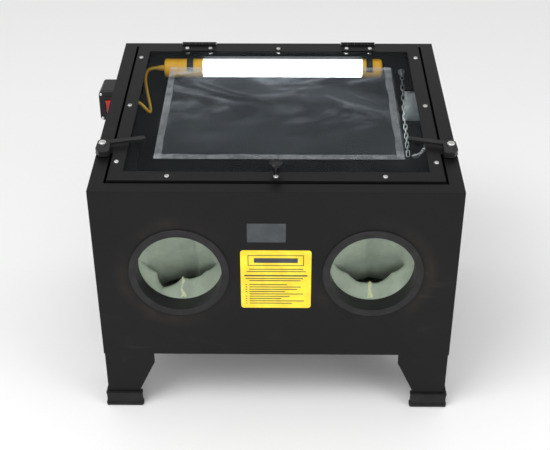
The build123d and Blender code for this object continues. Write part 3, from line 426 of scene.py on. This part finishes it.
def smooth_step(low, high, t):
    u = min(1.0, max(0.0, (t - low) / (high - low)))
    return u * u * (3 - 2 * u)


# ---------------------------------------------------------------- cloth sleeves
# Stations down a sleeve in mm: Y, centre X, centre Z, half width, half height and how far it
# has folded in, from 0 to 1.
SLEEVE_STATIONS = [
    (-235, 0, 0, 76, 76, 0.0),
    (-222, 0, 0, 76, 76, 0.0),
    (-211, 0, 0, 74, 74, 0.0),
    (-200, 0, -5, 72, 71, 0.3),
    (-188, 1, -20, 68, 61, 0.8),
    (-174, 3, -42, 63, 49, 1.0),
    (-160, 5, -64, 58, 36, 1.0),
    (-146, 6, -84, 53, 24, 1.0),
    (-130, 5, -96, 49, 15, 0.7),
    (-108, 3, -98, 45, 14, 0.3),
    (-84, 2, -98, 42, 16, 0.0),
    (-58, 0, -98, 40, 17, 0.0),
    (-30, 0, -98, 37, 17, 0.0),
    (-6, 0, -98, 34, 16, 0.0),
]
# Where the folded cloth lies, as a share of its open radius, against the angle in degrees
# round the sleeve.
FOLDS = {
    "left": [(-180, 0.96), (0, 0.96), (35, 0.84), (62, 0.74), (80, 1.22), (98, 0.78),
             (130, 0.78), (180, 0.96)],
    "right": [(-180, 0.96), (0, 0.96), (40, 1.0), (74, 1.02), (88, 1.30), (100, 0.80),
              (135, 0.74), (180, 0.96)],
}
# How far the floor's cloth stands up in a crosswise fold just behind the ring, as a share
# of the radius.
FLOOR_FOLDS = {
    "left": [(-180, 0.05), (-158, 0.24), (-124, 0.05), (-92, 0.52), (-60, 0.44), (-25, 0.36),
             (0, 0.12), (180, 0.02)],
    "right": [(-180, 0.08), (-152, 0.34), (-122, 0.34), (-90, 0.40), (-66, 0.36), (-28, 0.38),
              (0, 0.14), (180, 0.02)],
}
FLOOR_FOLD_Y = -191.0
FLOOR_FOLD_WIDTH = 13.0
# The share of the sleeve's length over which its twist and small folds set in.
TWIST_SPAN = (0.18, 0.42)
WRIST_DROP = 0.098
CUFF_RADIUS = 0.074
# Rings and points round each ball that makes up a hand.
BALL_ROWS = 9
BALL_AROUND = 14
PALM_RADIUS = 0.02


def share_at(table, angle):
    """The share that a table gives at an angle in radians."""
    here = (angle * 180 / pi + 180) % 360 - 180
    for (a0, r0), (a1, r1) in zip(table, table[1:]):
        if here <= a1:
            return r0 + (r1 - r0) * (here - a0) / (a1 - a0)
    return table[-1][1]


def station_at(t):
    """A sleeve station between the listed ones, with t from 0 to 1 down the sleeve."""
    place = t * (len(SLEEVE_STATIONS) - 1)
    i = min(int(place), len(SLEEVE_STATIONS) - 2)
    u = place - i
    before = SLEEVE_STATIONS[max(i - 1, 0)]
    a, b = SLEEVE_STATIONS[i], SLEEVE_STATIONS[i + 1]
    after = SLEEVE_STATIONS[min(i + 2, len(SLEEVE_STATIONS) - 1)]
    return [0.5 * (2 * q + (r - p) * u + (2 * p - 5 * q + 4 * r - w) * u * u
                   + (3 * q - p - 3 * r + w) * u ** 3)
            for p, q, r, w in zip(before, a, b, after)]


def sleeve_point(centre, t, angle, lean, twist, wrinkle, lift=0.0):
    """A point of the sleeve's skin; angle 0 is to the right and a quarter turn is up."""
    y, cx, cz, half_w, half_h, fold = station_at(t)
    depth = smooth_step(*TWIST_SPAN, t)
    turned = angle + twist * depth * (1 - smooth_step(0.6, 1.0, t))
    name = "left" if centre.x < 0 else "right"
    r = 1.0 - fold * (1.0 - share_at(FOLDS[name], turned))
    crossing = exp(-(((y - FLOOR_FOLD_Y) / FLOOR_FOLD_WIDTH) ** 2))
    r -= share_at(FLOOR_FOLDS[name], turned) * crossing
    seed = Vector((cos(angle) * 1.6 + centre.x * 40, sin(angle) * 1.6, y * 0.022))
    folds = noise.noise(seed * 1.4) * 0.045 + noise.noise(seed * 3.6) * 0.02
    r += folds * depth * wrinkle
    x = (cx * lean + (half_w * r + lift) * cos(turned)) * MM
    z = (cz + (half_h * r + lift) * sin(turned)) * MM
    return Vector((centre.x + x, y * MM, centre.z + z))


def build_sleeve(side, sets):
    """One cloth sleeve from its ring down to the wrist."""
    name, sign = ("left", -1) if side < 0 else ("right", 1)
    lean, twist = (1.0, 0.16) if side < 0 else (0.3, -0.05)
    centre = Vector((sign * ARM_X, 0, ARM_Z))
    rows, around = sets.rows, sets.around
    points = [sleeve_point(centre, i / (rows - 1), 2 * pi * j / around, lean, twist, sets.wrinkle)
              for i in range(rows) for j in range(around)]
    faces = grid_faces(rows, around, True)
    sleeve = mesh_piece("sleeve_" + name, points, faces, "glove_cloth", "cabinet")
    apply_modifier(sleeve, "SOLIDIFY", thickness=sets.thickness, offset=1.0)
    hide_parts("glove_" + name)
    build_seam(name, centre, lean, twist, sets)
    build_hand(name, sign, centre)


def build_seam(name, centre, lean, twist, sets):
    """The pale overlocked seam along the sleeve's floor, as a ribbed band."""
    rows, across = 120, 9
    points = []
    for i in range(rows):
        t = 0.15 + 0.18 * i / (rows - 1)
        for j in range(across):
            u = j / (across - 1) - 0.5
            wave = 0.03 * sin(i * 0.12) if name == "left" else 0.01 * sin(i * 0.1)
            turned_back = twist * smooth_step(*TWIST_SPAN, t)
            angle = -pi / 2 + wave - turned_back + u * sets.seam_width / CUFF_RADIUS
            height = -(2.2 + 1.6 * cos(pi * u) + 0.4 * sin(i * 1.9 + u * 5))
            points.append(sleeve_point(centre, t, angle, lean, twist, sets.wrinkle, height))
    faces = grid_faces(rows, across)
    band = mesh_piece("seam_" + name, points, faces, "glove_cloth", "cabinet")
    thread = bpy.data.materials.get("seam_thread") or seam_thread(sets.seam_colour)
    band.data.materials[0] = thread


def seam_thread(colour):
    """Pale thread that crosses the seam in close stitches."""
    s = Shader("seam_thread")
    _, y, z = s.axes()
    stitch = ((y + z * 0.6) * 2600.0).sine().band(-0.4, 0.8)
    tone = s.cloud(160.0, 4.0)
    s.set(Base_Color=s.blend(stitch * 0.6 + tone * 0.2, colour, [c * 0.6 for c in colour]),
          Roughness=0.8 + 0.15 * tone, Normal=s.bump(stitch, 0.6, 0.0006))
    return s.material


def ball_points(place, r):
    """Points over one flattened ball of a hand; the palm's are flatter than the fingers'."""
    flat = 0.5 if r > PALM_RADIUS else 0.82
    points = []
    for i in range(BALL_ROWS):
        for j in range(BALL_AROUND):
            a, b = pi * i / (BALL_ROWS - 1), 2 * pi * j / BALL_AROUND
            points.append(place + Vector((r * sin(a) * cos(b), r * cos(a),
                                          r * flat * sin(a) * sin(b))))
    return points


def build_hand(name, sign, centre):
    """A limp glove at the sleeve's end: palm, thumb and four fingers blended into one skin."""
    wrist = Vector((centre.x, -0.012, centre.z - WRIST_DROP))
    along = Vector((0, 1.0, 0))
    blobs = [(wrist + along * (0.006 * k), 0.0295 - 0.0004 * k) for k in range(-2, 6)]
    for k in range(4):
        spread = (k - 1.5) * 0.0145
        for step in range(9):
            reach = 0.034 + 0.0058 * step - abs(k - 1.2) * 0.0035
            droop = Vector((0, 0, -0.00014 * step * step))
            tip = wrist + along * reach + Vector((spread, 0, 0)) + droop
            blobs.append((tip, 0.0094 - 0.00018 * step))
    for step in range(8):
        aside = Vector((-sign * (0.024 + 0.0024 * step), 0, 0.002))
        blobs.append((wrist + along * (0.006 + 0.0052 * step) + aside, 0.0105))
    points, faces = [], []
    for place, r in blobs:
        start = len(points)
        points += ball_points(place, r)
        faces += [tuple(start + k for k in face)
                  for face in grid_faces(BALL_ROWS, BALL_AROUND, True)]
    hand = mesh_piece("hand_" + name, points, faces, "glove_cloth", "cabinet")
    apply_modifier(hand, "REMESH", mode="VOXEL", voxel_size=0.0022)
    apply_modifier(hand, "SMOOTH", factor=0.6, iterations=6)
    for polygon in hand.data.polygons:
        polygon.use_smooth = True


# ---------------------------------------------------------------- film and tape on the pane
FILM_X = (-200.0, 208.0)
FILM_S = (90.0, 393.0)
FILM_OVERHANG = 3
TAPE_STEPS = 90
TAPE_SHARES = (0.0, 0.33, 0.66, 1.0)


def film_height(x, s):
    """How far the film lifts off the pane, in mm."""
    edge = min(x - FILM_X[0], FILM_X[1] - x, s - FILM_S[0], FILM_S[1] - s)
    free = smooth_step(8, 45, edge)
    sag = noise.noise(Vector((x * 0.011, s * 0.017, 3.0)))
    sag += 0.5 * noise.noise(Vector((x * 0.03, s * 0.03, 9.0)))
    return 0.35 + free * (0.7 + 0.9 * sag)


def build_film():
    """The film, laid over the pane with soft waves in it."""
    columns, rows = 120, 90
    points = []
    for i in range(rows):
        for j in range(columns):
            x = FILM_X[0] + (FILM_X[1] - FILM_X[0] + FILM_OVERHANG) * j / (columns - 1)
            s = FILM_S[0] + (FILM_S[1] - FILM_S[0]) * i / (rows - 1)
            points.append(on_lid(x, s, film_height(x, s)))
    film = mesh_piece("film", points, grid_faces(rows, columns), "hazy_film", "lid")
    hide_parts("protective_film")


def tape_side(start, end, inward, width, seed):
    """Rows of points along one side of the tape, with a wavy inner edge."""
    rows = []
    for i in range(TAPE_STEPS):
        u = i / (TAPE_STEPS - 1)
        x, s = (start[k] + (end[k] - start[k]) * u for k in (0, 1))
        waver = 1.0 + 0.22 * noise.noise(Vector((u * 7, seed, 0)))
        waver += 0.1 * noise.noise(Vector((u * 23, seed, 4)))
        crinkle = 0.5 + 0.25 * noise.noise(Vector((u * 40, seed, 2)))
        for v in TAPE_SHARES:
            reach = width * waver * v
            height = 0.9 + crinkle * sin(pi * v) + 0.8 * v
            rows.append(on_lid(x + inward[0] * reach, s + inward[1] * reach, height))
    return rows


def build_tape(sets):
    """The tape border, four strips that overlap at the corners."""
    x0, x1 = FILM_X
    s0, s1 = FILM_S
    sides = [((x0, s0), (x1, s0), (0, 1)), ((x0, s1), (x1, s1), (0, -1)),
             ((x0, s0), (x0, s1), (1, 0)), ((x1, s0), (x1, s1), (-1, 0))]
    points, faces = [], []
    for seed, (start, end, inward) in enumerate(sides):
        first = len(points)
        points += tape_side(start, end, inward, sets.tape_width / MM, seed + 1)
        faces += [tuple(first + k for k in face)
                  for face in grid_faces(TAPE_STEPS, len(TAPE_SHARES))]
    tape = mesh_piece("tape", points, faces, "frosted_tape", "lid")
    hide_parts("film_tape")


# ---------------------------------------------------------------- lamp lead
LEAD_ROUTE = [(-233, 213, 451), (-249, 213, 451), (-258, 212, 437), (-258, 211, 412),
              (-254, 210, 385), (-250, 198, 371), (-249, 181, 371), (-254, 169, 383),
              (-267, 170, 398), (-283, 175, 402), (-300, 175, 402)]


def build_lead(sets):
    """The yellow lead from the lamp's end, down in a loop and out through the grommet."""
    curve = bpy.data.curves.new("lead", "CURVE")
    curve.dimensions = "3D"
    curve.bevel_depth = sets.diameter / 2
    curve.bevel_resolution = 6
    curve.resolution_u = 24
    curve.use_fill_caps = True
    line = curve.splines.new("NURBS")
    line.points.add(len(LEAD_ROUTE) - 1)
    for point, place in zip(line.points, LEAD_ROUTE):
        point.co = (*[v * MM for v in place], 1.0)
    line.order_u = 3
    line.use_endpoint_u = True
    curve.materials.append(finish_of("yellow_cable"))
    lead = bpy.data.objects.new("lead", curve)
    bpy.context.scene.collection.objects.link(lead)
    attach(lead, "cabinet")
    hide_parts("lamp_lead")


# ---------------------------------------------------------------- marks on the notice plate
def build_marks():
    """An outlined box and plain bars, standing for a notice without any words."""
    low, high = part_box("notice_plate")
    face = low.y - 0.0002
    left, top = low.x, high.z
    # Each bar in mm from the plate's top left: across, down, width, height.
    bars = [(12, 9, 91, 1.2), (12, 27.8, 91, 1.2), (12, 9, 1.2, 20), (101.8, 9, 1.2, 20),
            (22, 14.5, 71, 9)]
    bars += [(14, 35, 88, 1.5), (10, 39.5, 96, 1.5), (6, 47, 103, 2.6), (8, 53, 94, 1.5),
             (14, 57.2, 84, 1.5)]
    widths = (62, 84, 78, 58, 88, 66, 52, 90, 70)
    bars += [(14, 65 + 4.6 * k, w, 1.5) for k, w in enumerate(widths)]
    bars += [(8, 65 + 4.6 * k, 2.2, 1.5) for k in range(len(widths)) if k != 4]
    points, faces = [], []
    for x, z, w, h in bars:
        x0, z0 = left + x * MM, top - z * MM
        x1, z1 = x0 + w * MM, z0 - h * MM
        start = len(points)
        points += [(x0, face, z0), (x1, face, z0), (x1, face, z1), (x0, face, z1)]
        faces.append((start + 3, start + 2, start + 1, start))
    mesh_piece("notice_marks", points, faces, "dark_plate", "cabinet", False)


# ---------------------------------------------------------------- filter pad
def build_filter():
    """The exhaust filter's pad, a slightly puckered felt between its two bars."""
    low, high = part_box("exhaust_filter")
    rows, columns = 40, 28
    points = []
    for i in range(rows):
        for j in range(columns):
            u, v = j / (columns - 1), i / (rows - 1)
            swell = sin(pi * u) ** 0.4 * sin(pi * v) ** 0.4
            bumpy = noise.noise(Vector((u * 4, v * 7, 1))) * 0.0015
            points.append((low.x + (high.x - low.x) * u, high.y - (high.y - low.y + bumpy) * swell,
                           low.z + (high.z - low.z) * v))
    pad = mesh_piece("filter_pad", points, grid_faces(rows, columns), "filter_felt", "cabinet")
    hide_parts("exhaust_filter")


# ---------------------------------------------------------------- studio
FLOOR_SIZE = 40.0
FLOOR_HEIGHT = -0.0005
SENSOR_WIDTH = 36.0
CAMERA_PLACE = (0.0181, -1.6226, 1.1838)
# The camera's turns in degrees, in the order they are multiplied.
CAMERA_TURNS = ((0.8, "Z"), (59.44, "X"), (-0.17, "Z"))


def plane(name, size, height, material):
    """A level square."""
    mesh = bpy.data.meshes.new(name)
    h = size / 2
    corners = [(-h, -h, height), (h, -h, height), (h, h, height), (-h, h, height)]
    mesh.from_pydata(corners, [], [(0, 1, 2, 3)])
    floor = bpy.data.objects.new(name, mesh)
    mesh.materials.append(material)
    bpy.context.scene.collection.objects.link(floor)
    return floor


def softbox(name, place, target, width, depth, power):
    """A rectangular area light that faces a target."""
    light = bpy.data.lights.new(name, "AREA")
    light.shape = "RECTANGLE"
    light.size, light.size_y = width, depth
    light.energy = power
    lamp = bpy.data.objects.new(name, light)
    lamp.location = place
    lamp.rotation_euler = (Vector(target) - Vector(place)).to_track_quat("-Z", "Y").to_euler()
    bpy.context.scene.collection.objects.link(lamp)
    return lamp


def build_stage(sets):
    """The floor, three softboxes, the white surroundings and the camera."""
    s = Shader("studio_floor")
    s.set(Base_Color=s.blend(s.cloud(1.5), (0.94, 0.94, 0.94), (0.96, 0.96, 0.96)),
          Roughness=0.8 + 0.1 * s.cloud(3.0))
    floor = plane("floor", FLOOR_SIZE, FLOOR_HEIGHT, s.material)
    lights = [softbox("key", (-1.2, -1.3, 2.6), (0, 0, 0.3), 1.6, 1.2, sets.key_power),
              softbox("fill", (1.9, -1.6, 1.5), (0, 0, 0.3), 1.4, 1.4, sets.fill_power),
              softbox("front", (0.0, -2.6, 0.7), (0, 0, 0.27), 1.2, 0.8, sets.front_power)]
    world = bpy.data.worlds.new("studio")
    world.use_nodes = True
    background = world.node_tree.nodes["Background"]
    background.inputs["Color"].default_value = (1.0, 1.0, 1.0, 1.0)
    background.inputs["Strength"].default_value = sets.sky
    bpy.context.scene.world = world
    bpy.context.scene.view_settings.view_transform = "Standard"
    camera = bpy.data.cameras.new("camera")
    camera.lens = sets.lens
    camera.sensor_width = SENSOR_WIDTH
    eye = bpy.data.objects.new("camera", camera)
    first, second, third = (Matrix.Rotation(radians(a), 4, axis) for a, axis in CAMERA_TURNS)
    eye.matrix_world = Matrix.Translation(CAMERA_PLACE) @ (first @ second @ third)
    bpy.context.scene.collection.objects.link(eye)
    bpy.context.scene.camera = eye


# ---------------------------------------------------------------- settings
class FinishSettings(bpy.types.PropertyGroup):
    dusty: FloatProperty(
        name="Dust", description="How much brown dust lies on the shell",
        default=0.75, min=0, max=1)


class SleeveSettings(bpy.types.PropertyGroup):
    rows: IntProperty(name="Rows", description="Rings of points down a sleeve", default=170, min=20)
    around: IntProperty(name="Around", description="Points round a sleeve", default=180, min=24)
    thickness: FloatProperty(
        name="Cloth", description="Thickness of the cloth",
        default=0.0016, unit="LENGTH")
    wrinkle: FloatProperty(
        name="Wrinkles", description="Depth of the small folds",
        default=1.0, min=0, max=3)
    seam_width: FloatProperty(
        name="Seam", description="Width of the seam's band",
        default=0.0105, unit="LENGTH")
    seam_colour: FloatVectorProperty(
        name="Thread", description="Colour of the seam's thread",
        size=3, subtype="COLOR", default=(0.74, 0.80, 0.50))


class FilmSettings(bpy.types.PropertyGroup):
    tape_width: FloatProperty(
        name="Tape", description="Width of the tape border",
        default=0.012, unit="LENGTH")


class LeadSettings(bpy.types.PropertyGroup):
    diameter: FloatProperty(
        name="Diameter", description="Outside diameter of the lead",
        default=0.006, unit="LENGTH")
    length: FloatProperty(
        name="Length", description="Length of the lead inside the cabinet",
        default=0.187, unit="LENGTH")


class StudioSettings(bpy.types.PropertyGroup):
    key_power: FloatProperty(
        name="Key", description="Power of the overhead softbox",
        default=34.0, unit="POWER")
    fill_power: FloatProperty(
        name="Fill", description="Power of the right softbox",
        default=14.0, unit="POWER")
    front_power: FloatProperty(
        name="Front", description="Power of the low front softbox",
        default=10.0, unit="POWER")
    sky: FloatProperty(name="Sky", description="Strength of the white surroundings", default=0.72)
    lens: FloatProperty(name="Lens", description="Focal length in millimetres", default=66.34)


# ---------------------------------------------------------------- operators
class CABINET_OT_finishes(bpy.types.Operator):
    """Make every finish and give each CAD node its own"""
    bl_idname = "cabinet.finishes"
    bl_label = "Finishes"

    def execute(self, context):
        finishes.update(make_finishes(context.scene.cabinet_finish.dusty))
        for entry in frame["record"]["subparts"]:
            data = frame["nodes"][entry["node"]].data
            data.materials.clear()
            data.materials.append(finish_of(entry["material_slot"]))
        return {"FINISHED"}


class CABINET_OT_sleeves(bpy.types.Operator):
    """Build both cloth sleeves with their seams and hands"""
    bl_idname = "cabinet.sleeves"
    bl_label = "Sleeves"

    def execute(self, context):
        for side in (-1, 1):
            build_sleeve(side, context.scene.cabinet_sleeve)
        return {"FINISHED"}


class CABINET_OT_film(bpy.types.Operator):
    """Lay the protective film and its tape border on the pane"""
    bl_idname = "cabinet.film"
    bl_label = "Film and tape"

    def execute(self, context):
        build_film()
        build_tape(context.scene.cabinet_film)
        return {"FINISHED"}


class CABINET_OT_lead(bpy.types.Operator):
    """Hang the lamp's lead"""
    bl_idname = "cabinet.lead"
    bl_label = "Lamp lead"

    def execute(self, context):
        build_lead(context.scene.cabinet_lead)
        return {"FINISHED"}


class CABINET_OT_plates(bpy.types.Operator):
    """Put the plain marks on the notice plate"""
    bl_idname = "cabinet.plates"
    bl_label = "Plate marks"

    def execute(self, context):
        build_marks()
        return {"FINISHED"}


class CABINET_OT_filter(bpy.types.Operator):
    """Fit the exhaust filter's pad"""
    bl_idname = "cabinet.filter_pad"
    bl_label = "Filter pad"

    def execute(self, context):
        build_filter()
        return {"FINISHED"}


class CABINET_OT_stage(bpy.types.Operator):
    """Set up the floor, the lights and the camera"""
    bl_idname = "cabinet.stage"
    bl_label = "Studio"

    def execute(self, context):
        build_stage(context.scene.cabinet_studio)
        return {"FINISHED"}


class CABINET_PT_panel(bpy.types.Panel):
    """Buttons for every piece"""
    bl_label = "Sandblast cabinet"
    bl_idname = "CABINET_PT_panel"
    bl_space_type = "VIEW_3D"
    bl_region_type = "UI"
    bl_category = "Cabinet"

    def draw(self, context):
        for operator in OPERATORS:
            self.layout.operator(operator.bl_idname)


SETTINGS = {
    "cabinet_finish": FinishSettings,
    "cabinet_sleeve": SleeveSettings,
    "cabinet_film": FilmSettings,
    "cabinet_lead": LeadSettings,
    "cabinet_studio": StudioSettings,
}
OPERATORS = [CABINET_OT_finishes, CABINET_OT_sleeves, CABINET_OT_film, CABINET_OT_lead,
             CABINET_OT_plates, CABINET_OT_filter, CABINET_OT_stage]


def register():
    for cls in [*SETTINGS.values(), *OPERATORS, CABINET_PT_panel]:
        bpy.utils.register_class(cls)
    for name, group in SETTINGS.items():
        setattr(bpy.types.Scene, name, PointerProperty(type=group))


def unregister():
    for name in SETTINGS:
        delattr(bpy.types.Scene, name)
    for cls in reversed([*SETTINGS.values(), *OPERATORS, CABINET_PT_panel]):
        bpy.utils.unregister_class(cls)


def main():
    """Builds every piece in order."""
    register()
    bpy.ops.cabinet.finishes()
    bpy.ops.cabinet.sleeves()
    bpy.ops.cabinet.film()
    bpy.ops.cabinet.lead()
    bpy.ops.cabinet.plates()
    bpy.ops.cabinet.filter_pad()
    bpy.ops.cabinet.stage()


if __name__ == "__main__":
    main()
